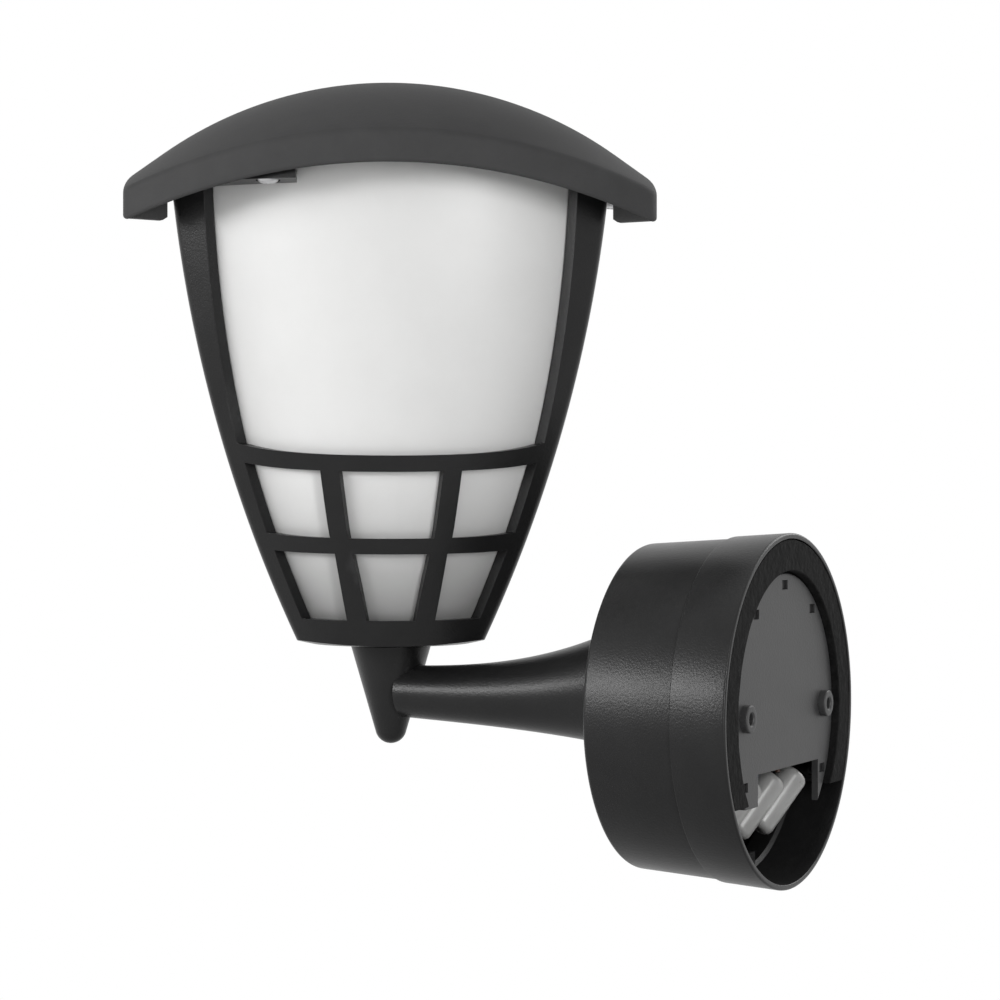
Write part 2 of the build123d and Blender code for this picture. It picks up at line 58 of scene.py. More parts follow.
# camera at the photograph's viewing angle
camera = dict(place=(0.8677, 0.3285, 0.0778), looks=(-0.8878, -0.4602, 0.0), lens=90.0)
cameraData = bpy.data.cameras.new("photoCamera")
cameraData.lens = camera["lens"]
cameraData.sensor_width = 36.0
cameraData.clip_start = 0.05
bpy.context.scene.camera = aimed("photoCamera", cameraData, camera["place"], camera["looks"])
print("camera placed")


# mesh helpers: a shell is a pair of points and faces
def gridFaces(rows, cols, wrapRows=False, wrapCols=True):
    # quads of a grid of points, joined end to end where it wraps
    index = np.arange(rows * cols).reshape(rows, cols)
    if wrapRows:
        index = np.vstack([index, index[:1]])
    if wrapCols:
        index = np.hstack([index, index[:, :1]])
    corners = [index[:-1, :-1], index[:-1, 1:], index[1:, 1:], index[1:, :-1]]
    return np.stack(corners, axis=-1).reshape(-1, 4)


def gridShell(points, wrapRows=False, wrapCols=True):
    rows, cols = points.shape[:2]
    return points.reshape(-1, 3), gridFaces(rows, cols, wrapRows, wrapCols).tolist()


def roundCorners(corners, radii, closed=False, steps=5):
    # a polyline whose corners become arcs: each arc touches both of its sides,
    # its centre lies on the corner's bisector at radius over sine of half the angle
    corners = np.array(corners, float)
    count = len(corners)
    radii = np.broadcast_to(np.array(radii, float), (count,))
    pieces = []
    for k in range(count):
        here = corners[k]
        if radii[k] <= 0 or (not closed and k in (0, count - 1)):
            pieces.append(here[None])
            continue
        back, ahead = corners[k - 1] - here, corners[(k + 1) % count] - here
        backLength, aheadLength = np.linalg.norm(back), np.linalg.norm(ahead)
        back, ahead = back / backLength, ahead / aheadLength
        half = np.arccos(np.clip(back @ ahead, -1, 1)) / 2
        if half > np.radians(89):
            pieces.append(here[None])
            continue
        cut = min(radii[k] / np.tan(half), 0.48 * backLength, 0.48 * aheadLength)
        radius = cut * np.tan(half)
        middle = here + (back + ahead) / np.linalg.norm(back + ahead) * radius / np.sin(half)
        first, last = here + back * cut - middle, here + ahead * cut - middle
        begin = np.arctan2(first[1], first[0])
        sweep = (np.arctan2(last[1], last[0]) - begin + np.pi) % (2 * np.pi) - np.pi
        turn = begin + sweep * np.linspace(0, 1, steps)
        pieces.append(middle + radius * np.stack([np.cos(turn), np.sin(turn)], axis=1))
    return np.vstack(pieces)


def axisFrame(axis):
    # a unit axis with two directions square to it
    axis = np.array(axis, float)
    axis /= np.linalg.norm(axis)
    helper = np.array([0.0, 0.0, 1.0]) if abs(axis[2]) < 0.9 else np.array([1.0, 0.0, 0.0])
    side = np.cross(helper, axis)
    side /= np.linalg.norm(side)
    return axis, side, np.cross(axis, side)


def turned(profile, origin, axis, steps=72, closed=False):
    # a profile of (radius, distance along the axis) carried once round the axis
    axis, side, other = axisFrame(axis)
    profile = np.array(profile, float)
    turn = np.linspace(0, 2 * np.pi, steps, endpoint=False)
    ring = np.cos(turn)[:, None] * side + np.sin(turn)[:, None] * other
    points = (np.array(origin, float) + profile[:, 1, None, None] * axis
              + profile[:, 0, None, None] * ring[None])
    return gridShell(points, wrapRows=closed)


def stripSlab(inner, outer, low, high, lie, across=2):
    # the band between two lines of equal count, filled between two levels;
    # lie turns (u, v, level) into a place
    share = np.linspace(0, 1, across)[:, None, None]
    band = np.array(inner)[None] * (1 - share) + np.array(outer)[None] * share
    lowSide = np.dstack([band, np.full(band.shape[:2], low)])
    highSide = np.dstack([band, np.full(band.shape[:2], high)])
    tube = np.concatenate([lowSide, highSide[::-1]])      # goes round the band's section
    points = lie(tube)
    flat, faces = gridShell(points, wrapRows=True, wrapCols=False)
    rows, cols = points.shape[:2]
    faces.append([row * cols for row in range(rows)][::-1])
    faces.append([row * cols + cols - 1 for row in range(rows)])
    return flat, faces


def onWall(points):
    # (x, z, distance in front of the wall) to (x, -distance, z)
    return np.stack([points[..., 0], -points[..., 2], points[..., 1]], axis=-1)


def byFace(angle):
    # (along the face, out from the axis, height) to a place beside that face
    turn = np.radians(angle)
    out = np.array([np.cos(turn), np.sin(turn), 0.0])
    along = np.array([-np.sin(turn), np.cos(turn), 0.0])
    up = np.array([0.0, 0.0, 1.0])
    return lambda points: (headCentre + points[..., 0:1] * along + points[..., 1:2] * out
                           + points[..., 2:3] * up)


def boxShell(low, high):
    # eight corners, for cutters only
    low, high = np.array(low, float), np.array(high, float)
    pick = np.array([[0, 0, 0], [1, 0, 0], [1, 1, 0], [0, 1, 0], [0, 0, 1], [1, 0, 1], [1, 1, 1], [0, 1, 1]])
    faces = [[0, 3, 2, 1], [4, 5, 6, 7], [0, 1, 5, 4], [1, 2, 6, 5], [2, 3, 7, 6], [3, 0, 4, 7]]
    return low + (high - low) * pick, faces


def plug(radius, low, high, origin, axis, steps=40):
    # a round cutter between two distances along its axis
    return turned([(0, low), (radius, low), (radius, high), (0, high)], origin, axis, steps)


def meshFrom(name, shells):
    points, faces, offset = [], [], 0
    for shellPoints, shellFaces in shells:
        points.append(shellPoints)
        faces += [[corner + offset for corner in face] for face in shellFaces]
        offset += len(shellPoints)
    mesh = bpy.data.meshes.new(name)
    mesh.from_pydata((np.vstack(points) * mm).tolist(), [], faces)
    work = bmesh.new()
    work.from_mesh(mesh)
    bmesh.ops.remove_doubles(work, verts=work.verts, dist=4e-6)
    bmesh.ops.dissolve_degenerate(work, edges=work.edges, dist=1e-7)
    bmesh.ops.recalc_face_normals(work, faces=work.faces)
    work.to_mesh(mesh)
    work.free()
    return mesh


def carve(piece, shells, operation="DIFFERENCE"):
    # cuts the shells out of a piece, or joins them on, and keeps the result as its mesh
    tool = bpy.data.objects.new("tool", meshFrom("tool", shells))
    bpy.context.scene.collection.objects.link(tool)
    step = piece.modifiers.new("carve", "BOOLEAN")
    step.operation, step.object, step.solver = operation, tool, "EXACT"
    result = bpy.data.meshes.new_from_object(piece.evaluated_get(bpy.context.evaluated_depsgraph_get()))
    piece.modifiers.clear()
    old = piece.data
    piece.data = result
    bpy.data.meshes.remove(old)
    bpy.data.objects.remove(tool)


def makePiece(name, shells, cuts=(), joins=()):
    # shells that are joined or cut go through a boolean one by one
    piece = bpy.data.objects.new(name, meshFrom(name, shells))
    bpy.context.scene.collection.objects.link(piece)
    for join in joins:
        carve(piece, [join], "UNION")
    for cut in cuts:
        carve(piece, [cut])
    piece.data.name = name
    return piece


def addPiece(name, finishName, node, shells, body="lantern", cuts=(), joins=(), bevel=0.0, smoothAngle=40):
    # a piece with smooth shading, small rounded edges and material, in place of one CAD node
    piece = makePiece(name, shells, cuts, joins)
    piece.data.materials.clear()
    piece.data.materials.append(finish[finishName])
    piece.data.shade_smooth()
    if bevel:
        rounding = piece.modifiers.new("edges", "BEVEL")
        rounding.width = bevel * mm
        rounding.segments = 2
        rounding.limit_method = "ANGLE"
        rounding.angle_limit = np.radians(smoothAngle)
        rounding.harden_normals = True
        rounding.use_clamp_overlap = True
    else:
        piece.data.set_sharp_from_angle(angle=np.radians(smoothAngle))
    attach(piece, body)
    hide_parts(node)
    return piece


# shader helpers
def feed(tree, node, values):
    # numbers and colours are set, sockets are linked
    for label, value in values.items():
        if isinstance(value, (int, float, tuple)):
            node.inputs[label].default_value = value
        else:
            tree.links.new(value, node.inputs[label])


def calc(tree, operation, first, second):
    node = tree.nodes.new("ShaderNodeMath")
    node.operation = operation
    feed(tree, node, {0: first, 1: second})
    return node.outputs[0]


def noiseOn(tree, vector, scale, detail, roughness):
    node = tree.nodes.new("ShaderNodeTexNoise")
    feed(tree, node, {"Vector": vector, "Scale": scale, "Detail": detail, "Roughness": roughness})
    return node.outputs["Fac"]


def mapTo(tree, value, fromLow, fromHigh, toLow, toHigh):
    node = tree.nodes.new("ShaderNodeMapRange")
    node.clamp = True
    feed(tree, node, {"Value": value, "From Min": fromLow, "From Max": fromHigh, "To Min": toLow,
                      "To Max": toHigh})
    return node.outputs["Result"]


def newGroup(name, inputs, outputs):
    # a shader group of plain numbers, with its inputs, its output node and the place on the object
    group = bpy.data.node_groups.new(name, "ShaderNodeTree")
    for label, value in inputs.items():
        socket = group.interface.new_socket(name=label, in_out="INPUT", socket_type="NodeSocketFloat")
        socket.default_value = value
    for label in outputs:
        group.interface.new_socket(name=label, in_out="OUTPUT", socket_type="NodeSocketFloat")
    given = group.nodes.new("NodeGroupInput").outputs
    place = group.nodes.new("ShaderNodeTexCoord").outputs["Object"]
    return group, given, group.nodes.new("NodeGroupOutput"), place


def buildMouldGrain():
    # spark-eroded mould texture: fine noise pits, with a slow change of gloss over them
    group, given, out, place = newGroup(
        "mouldGrain", {"Grain Scale": 900.0, "Mottle Scale": 45.0, "Base Rough": 0.5, "Rough Spread": 0.1},
        ("Height", "Roughness", "Mottle"))
    fine = noiseOn(group, place, given["Grain Scale"], 2.0, 0.6)
    slow = noiseOn(group, place, given["Mottle Scale"], 4.0, 0.6)
    cells = group.nodes.new("ShaderNodeTexVoronoi")
    feed(group, cells, {"Vector": place, "Scale": calc(group, "MULTIPLY", given["Grain Scale"], 0.6)})
    height = calc(group, "ADD", fine, calc(group, "MULTIPLY", cells.outputs["Distance"], 0.5))
    spread = calc(group, "MULTIPLY", calc(group, "SUBTRACT", slow, 0.5), given["Rough Spread"])
    rough = calc(group, "ADD", given["Base Rough"], calc(group, "MULTIPLY", spread, 2.0))
    feed(group, out, {"Height": height, "Roughness": rough, "Mottle": slow})
    return group


def buildDust():
    # fine dust: more on surfaces that look up, broken up by noise
    group, given, out, place = newGroup("settledDust", {"Amount": 0.1, "Scale": 120.0}, ["Mask"])
    split = group.nodes.new("ShaderNodeSeparateXYZ")
    feed(group, split, {"Vector": group.nodes.new("ShaderNodeNewGeometry").outputs["Normal"]})
    upward = mapTo(group, split.outputs["Z"], -0.2, 1.0, 0.25, 1.0)
    speck = mapTo(group, noiseOn(group, place, given["Scale"], 6.0, 0.7), 0.42, 0.72, 0.0, 1.0)
    both = calc(group, "MULTIPLY", upward, speck)
    feed(group, out, {"Mask": calc(group, "MULTIPLY", both, given["Amount"])})
    return group


def buildEdgeWear():
    # paler line where the surface turns sharply outwards, broken up by noise
    group, given, out, place = newGroup("edgeWear", {"Amount": 0.3, "Low": 0.52, "High": 0.6}, ["Mask"])
    pointy = group.nodes.new("ShaderNodeNewGeometry").outputs["Pointiness"]
    edge = mapTo(group, pointy, given["Low"], given["High"], 0.0, 1.0)
    broken = mapTo(group, noiseOn(group, place, 300.0, 4.0, 0.6), 0.35, 0.7, 0.4, 1.0)
    both = calc(group, "MULTIPLY", edge, broken)
    feed(group, out, {"Mask": calc(group, "MULTIPLY", both, given["Amount"])})
    return group


mouldGrain = buildMouldGrain()
settledDust = buildDust()
edgeWear = buildEdgeWear()


def useGroup(tree, group, values):
    node = tree.nodes.new("ShaderNodeGroup")
    node.node_tree = group
    feed(tree, node, values)
    return node.outputs


def mixColour(tree, factor, *colours):
    # a grey is one number, a colour three
    node = tree.nodes.new("ShaderNodeMix")
    node.data_type = "RGBA"
    feed(tree, node, {0: factor})
    for label, colour in zip((6, 7), colours):
        if isinstance(colour, float):
            colour = (colour, colour, colour)
        feed(tree, node, {label: (*colour, 1.0) if isinstance(colour, tuple) else colour})
    return node.outputs[2]


def plasticFinish(name, look):
    # base colour varied by a slow mottle, paler edges, a little dust, fine mould grain as bump; where a
    # finish gives a shade colour, painted shade from the mesh's shade attribute
    look = {**usualLook, **look}
    material = bpy.data.materials.new(name)
    material.use_nodes = True
    tree = material.node_tree
    shader = tree.nodes["Principled BSDF"]
    grain = useGroup(tree, mouldGrain, {
        "Grain Scale": look["grainScale"], "Mottle Scale": look["mottleScale"], "Base Rough": look["rough"],
        "Rough Spread": look["roughSpread"]})
    dust = useGroup(tree, settledDust, {"Amount": look["dust"], "Scale": look["dustScale"]})
    wear = useGroup(tree, edgeWear, {"Amount": look["wear"], "Low": look["wearLow"],
                                     "High": look["wearHigh"]})
    body = mixColour(tree, mapTo(tree, grain["Mottle"], 0.3, 0.7, 0.0, 1.0), look["dark"], look["light"])
    # painted shade: the mesh's shade attribute darkens the base colour towards the finish's shade colour
    if look["shade"]:
        shade = tree.nodes.new("ShaderNodeAttribute")
        shade.attribute_name = "shade"
        body = mixColour(tree, shade.outputs["Fac"], body, look["shade"])
    edged = mixColour(tree, wear["Mask"], body, look["edge"])
    bump = tree.nodes.new("ShaderNodeBump")
    feed(tree, bump, {"Strength": look["grainStrength"], "Distance": look["grainDepth"] * mm,
                      "Height": grain["Height"]})
    feed(tree, shader, {"Base Color": mixColour(tree, dust["Mask"], edged, (0.5, 0.5, 0.49)),
                        "Roughness": grain["Roughness"], "IOR": look["ior"], "Metallic": look["metal"],
                        "Normal": bump.outputs["Normal"]})
    if look["glow"]:
        feed(tree, shader, {"Subsurface Weight": look["glow"], "Subsurface Radius": (1.0, 1.0, 1.0),
                            "Subsurface Scale": look["glowDepth"]})
    return material


# what a finish doesn't name is taken from usualLook; shade is the painted shade colour, 0 for none
usualLook = dict(mottleScale=45.0, roughSpread=0.1, grainScale=900.0, grainStrength=0.2, grainDepth=0.05,
                 dust=0.06, dustScale=160.0, wear=0.3, wearLow=0.53, wearHigh=0.62, shade=0.0, ior=1.46,
                 metal=0.0, glow=0.0, glowDepth=0.004)
finishes = {
    "blackPlastic": dict(dark=(0.0075, 0.0075, 0.0077), light=(0.0095, 0.0095, 0.0097), edge=0.05,
                         rough=0.32, roughSpread=0.03, mottleScale=90.0, grainScale=1700.0,
                         grainStrength=0.5, grainDepth=0.12, dust=0.006, dustScale=400.0, ior=1.31),
    "innerPlastic": dict(dark=(0.007, 0.007, 0.0072), light=(0.010, 0.010, 0.0102), edge=0.03, rough=0.5,
                         roughSpread=0.03, grainScale=1700.0, grainStrength=0.6, grainDepth=0.12, wear=0.0,
                         dust=0.0, ior=1.2),
    "roofPlastic": dict(dark=(0.047, 0.047, 0.0475), light=(0.053, 0.053, 0.0535), edge=0.07, rough=0.55,
                        roughSpread=0.03, mottleScale=80.0, grainScale=1500.0, grainStrength=0.5,
                        grainDepth=0.12, dust=0.0, ior=1.12),
    "platePlastic": dict(dark=(0.029, 0.029, 0.0295), light=(0.038, 0.038, 0.0385), edge=0.12, rough=0.46,
                         roughSpread=0.04, mottleScale=90.0, grainScale=1400.0, grainStrength=0.5,
                         grainDepth=0.12, wear=0.0, dust=0.02, ior=1.36),
    # painted shade: the diffuser darkens towards its shade colour where its shade attribute is high
    "opalPlastic": dict(dark=(0.65, 0.65, 0.645), light=(0.67, 0.67, 0.665), edge=0.68,
                        shade=(0.18, 0.18, 0.178), rough=0.38, roughSpread=0.05, grainScale=700.0,
                        grainStrength=0.15, grainDepth=0.05, glow=0.3, dust=0.0),
    "terminalPlastic": dict(dark=(0.25, 0.25, 0.246), light=(0.31, 0.31, 0.306), edge=(0.6, 0.6, 0.59),
                            rough=0.3, grainScale=500.0, grainDepth=0.08, glow=0.6, glowDepth=0.003,
                            wear=0.0, dust=0.0),
    "holderPlastic": dict(dark=(0.70, 0.69, 0.66), light=(0.76, 0.75, 0.72), edge=(0.82, 0.81, 0.78),
                          rough=0.4, grainScale=800.0, grainStrength=0.2, grainDepth=0.06),
    "insertCeramic": dict(dark=(0.66, 0.65, 0.61), light=(0.74, 0.73, 0.69), edge=(0.8, 0.79, 0.76),
                          rough=0.28, grainScale=260.0, grainStrength=0.35, grainDepth=0.1),
    "foam": dict(dark=0.004, light=0.011, edge=0.02, rough=0.9, grainScale=420.0, grainStrength=1.0,
                 grainDepth=0.5, dust=0.01, mottleScale=300.0, wear=0.0, ior=1.2),
    "sealRubber": dict(dark=0.010, light=0.018, edge=0.04, rough=0.65, grainScale=600.0, grainStrength=0.4,
                       grainDepth=0.1),
    "zincSteel": dict(dark=(0.50, 0.50, 0.51), light=(0.62, 0.62, 0.63), edge=(0.75, 0.75, 0.76), metal=1.0,
                      rough=0.34, grainScale=700.0, grainStrength=0.3, grainDepth=0.04, mottleScale=160.0),
    "brass": dict(dark=(0.60, 0.44, 0.18), light=(0.72, 0.54, 0.25), edge=(0.85, 0.68, 0.38), metal=1.0,
                  rough=0.3, grainScale=700.0, grainStrength=0.25, grainDepth=0.04, mottleScale=140.0),
    "lampMetal": dict(dark=(0.62, 0.62, 0.60), light=(0.74, 0.74, 0.72), edge=(0.85, 0.85, 0.84), metal=1.0,
                      rough=0.28, grainScale=500.0, grainStrength=0.25, grainDepth=0.04, mottleScale=110.0),
    "lampGlass": dict(dark=(0.86, 0.86, 0.85), light=(0.90, 0.90, 0.89), edge=0.92, rough=0.3,
                      roughSpread=0.04, grainScale=900.0, grainStrength=0.1, grainDepth=0.02, glow=0.5),
    "wireBrown": dict(dark=(0.045, 0.021, 0.013), light=(0.065, 0.030, 0.018), edge=(0.1, 0.06, 0.04),
                      rough=0.38),
    "wireBlue": dict(dark=(0.03, 0.08, 0.26), light=(0.045, 0.11, 0.34), edge=(0.1, 0.2, 0.45), rough=0.38),
}
finish = {name: plasticFinish(name, look) for name, look in finishes.items()}
print("finishes built:", len(finish))


# the lantern's plan has three bowed sides; bow is the belly over half a side
bow = 0.33


def outlineRadius(angle, half, corner):
    # distance from the lantern axis to a triangle of three arcs with rounded corners:
    # each arc passes through two tips and a belly, and a circle touches both arcs at a tip
    arcRadius = half * (1 + bow ** 2) / (2 * bow)
    setBack = arcRadius - half * (1 / np.sqrt(3) + bow)
    aside = np.radians((angle + 30) % 120 - 60)          # away from the nearest face's middle
    onArc = np.sqrt(arcRadius ** 2 - (setBack * np.sin(aside)) ** 2) - setBack * np.cos(aside)
    reach = (np.sqrt(setBack ** 2 - 4 * (setBack ** 2 - (arcRadius - corner) ** 2)) - setBack) / 2
    span = arcRadius - corner
    touchOut = reach * 0.5 + corner * (reach * 0.5 + setBack) / span
    touchSide = reach * np.sqrt(0.75) * (1 + corner / span)
    fromTip = np.radians(60) - np.abs(aside)
    room = np.maximum(corner ** 2 - (reach * np.sin(fromTip)) ** 2, 0)
    onTip = reach * np.cos(fromTip) + np.sqrt(room)
    return np.where(np.abs(aside) > np.arctan2(touchSide, touchOut), onTip, onArc)


def planAngles(arcSteps=24, tipSteps=12, tipShare=50.0):
    # plan angles all round, closer together at the three corners
    half = np.concatenate([np.linspace(0, tipShare, arcSteps, endpoint=False),
                           np.linspace(tipShare, 60, tipSteps, endpoint=False)])
    aside = np.concatenate([-np.append(half, 60)[:0:-1], half])
    return np.concatenate([angle + aside for angle in faceAngles])


def ringPoints(angle, radius, height):
    # places round the lantern axis
    turn = np.radians(angle)
    return np.stack(np.broadcast_arrays(radius * np.cos(turn), headY + radius * np.sin(turn), height),
                    axis=-1)


def roundShell(angle, rows, wrapRows=False):
    # a shell from rows of (radius, height)
    return gridShell(np.stack([ringPoints(angle, radius, height) for radius, height in rows]), wrapRows)


roof = dict(half=100.5, corner=9.0, domeRadius=154.3, apex=242.6, reach=91.4, slope=0.735, fascia=11.8,
            skin=3.0, skirt=3.2, crease=4.2, lip=1.2, ribBottom=183.6, ribThick=3.2, ribStart=98.5,
            ribEnd=113.5, bossRadius=4.2, bossBottom=203.3, pilot=2.0)


def domeHeight(radius):
    # a sphere up to its reach, then straight on as a cone
    centre = roof["apex"] - roof["domeRadius"]
    near = np.minimum(radius, roof["reach"])
    onSphere = centre + np.sqrt(roof["domeRadius"] ** 2 - near ** 2)
    return onSphere - np.maximum(radius - roof["reach"], 0) * roof["slope"]


def domeSlope(radius):
    near = np.minimum(radius, roof["reach"])
    return near / np.sqrt(roof["domeRadius"] ** 2 - near ** 2)


def roofShell():
    # one closed profile carried round: dome, rounded crease, fascia, lip, skirt and ceiling
    angle = planAngles()
    edge = outlineRadius(angle, roof["half"], roof["corner"])
    inner = outlineRadius(angle, roof["half"] - roof["skirt"], roof["corner"] - 2)
    tilt = np.arctan2(1.0, domeSlope(edge))               # direction of the dome's normal at the edge
    crease = roof["crease"]
    cut = crease * np.tan(tilt / 2)
    start = edge - crease + crease * np.cos(tilt)         # where the crease arc leaves the dome
    rows = [(start * share, domeHeight(start * share)) for share in np.linspace(0, 1, 34)[:-1]]
    creaseTop = domeHeight(edge) - cut
    for share in np.linspace(1, 0, 7):
        rows.append((edge - crease + crease * np.cos(tilt * share),
                     creaseTop + crease * np.sin(tilt * share)))
    lowEdge = domeHeight(edge) - roof["fascia"]
    for share in np.linspace(0.2, 1, 4):
        rows.append((edge, creaseTop + (lowEdge + roof["lip"] - creaseTop) * share))
    lip = roof["lip"]
    for turn in np.radians([30, 60, 90]):
        rows.append((edge - lip + lip * np.cos(turn), lowEdge + lip - lip * np.sin(turn)))
    lowInner = domeHeight(inner) - roof["fascia"]
    for turn in np.radians([0, 45, 90]):
        rows.append((inner + lip - lip * np.sin(turn), lowInner + lip - lip * np.cos(turn)))
    rows.append((inner, (domeHeight(inner) - roof["skin"] + lowInner) / 2))
    rows += [(inner * share, domeHeight(inner * share) - roof["skin"]) for share in np.linspace(1, 0, 20)]
    return roundShell(angle, rows)


screwSide, screwOut = -45.5, 75.0
screwSpots = [byFace(angle)(np.array([screwSide, screwOut, 0.0])) for angle in faceAngles]


def ribShell(angle):
    # an upright fin under a corner, whose top follows the dome inside the skin
    out = np.linspace(roof["ribStart"], roof["ribEnd"], 9)
    thick, cols = roof["ribThick"] / 2, len(out)
    low = np.full(cols, roof["ribBottom"])
    low[0] += 1.2
    high = domeHeight(out) - roof["skin"] / 2
    section = [(-thick, low), (thick, low), (thick, high), (-thick, high)]
    edge = outlineRadius(np.array([angle]), roof["half"], roof["corner"])[0] - 0.4
    out = np.minimum(out, edge)
    grid = byFace(angle)(np.stack([np.stack([np.full(cols, side), out, level], axis=-1)
                                   for side, level in section]))
    flat, faces = gridShell(grid, wrapRows=True, wrapCols=False)
    near = [row * cols for row in range(len(section))]
    return flat, faces + [near, [corner + cols - 1 for corner in near[::-1]]]


def bossShell(spot):
    # a tube that hangs from the ceiling to the screw lug
    top = domeHeight(np.hypot(spot[0], spot[1] - headY) + roof["bossRadius"]) - 1.2
    hole, radius, low = roof["pilot"], roof["bossRadius"], roof["bossBottom"]
    profile = roundCorners([(hole, low), (radius, low), (radius, top), (hole, top)], [0.3, 0.5, 0, 0],
                           closed=True, steps=4)
    return turned(profile, spot, (0, 0, 1), 32, closed=True)


roofInside = [ribShell(angle) for angle in cornerAngles] + [bossShell(spot) for spot in screwSpots]
addPiece("roofCap", "roofPlastic", "roof_cap", [roofShell()] + roofInside, body="roof", smoothAngle=50)
print("roof made")


# cage: posts, bars and floor as one shell with openings
cage = dict(arcRadius=562.35, arcHeight=253.2, arcCentre=-476.46, bottom=20.9, floor=23.0, wall=4.0,
            corner=4.5, hole=5.2, flatTo=32.0, coneTo=(52.0, 25.2), topDrop=5.5, edge=0.45)
# heights of the openings' upper and lower edges: (at the middle, rise towards the posts, at which ratio)
levels = dict(rowTwoLow=(31.1, 0.8, 1.39), rowTwoHigh=(57.0, 1.5, 1.39), rowOneLow=(63.0, 2.3, 1.39),
              rowOneHigh=(88.4, 3.7, 1.39), windowLow=(94.6, 5.0, 1.434), windowHigh=(208.0, -7.5, 1.25))
# sideways limits as distance along the face over distance from the axis, by height
barIn = ((31.5, 57.8, 64.1, 90.2), (0.262, 0.333, 0.358, 0.370))
barOut = ((31.5, 57.8, 64.1, 90.2), (0.497, 0.501, 0.525, 0.517))
postIn = ((31.9, 58.5, 65.3, 92.1, 99.6, 200.5), (1.277, 1.343, 1.38, 1.394, 1.434, 1.25))


def cageHalf(height):
    # half width of the cage at a height: one large arc
    return cage["arcCentre"] + np.sqrt(cage["arcRadius"] ** 2 - (height - cage["arcHeight"]) ** 2)


def cageAside(key, height):
    # column keys 0..3 run from the middle to the post, 3..4 on round to the corner
    size = np.abs(key)
    inner = np.interp(height, *barIn)
    outer = np.interp(height, *barOut)
    post = np.interp(height, *postIn)
    ratio = np.where(size < 1, inner * size,
                     np.where(size < 2, inner + (outer - inner) * (size - 1),
                              outer + (post - outer) * np.clip(size - 2, 0, 1)))
    flat = np.degrees(np.arctan(ratio))
    postAngle = np.degrees(np.arctan(post))
    pastPost = postAngle + (60 - postAngle) * np.clip(size - 3, 0, 1)
    return np.sign(key) * np.where(size <= 3, flat, pastPost), ratio


def underHeight(radius):
    # flat under the seat, then rising to the corners
    (farRadius, farHeight), near = cage["coneTo"], cage["flatTo"]
    return cage["bottom"] + np.maximum(radius - near, 0) * (farHeight - cage["bottom"]) / (farRadius - near)


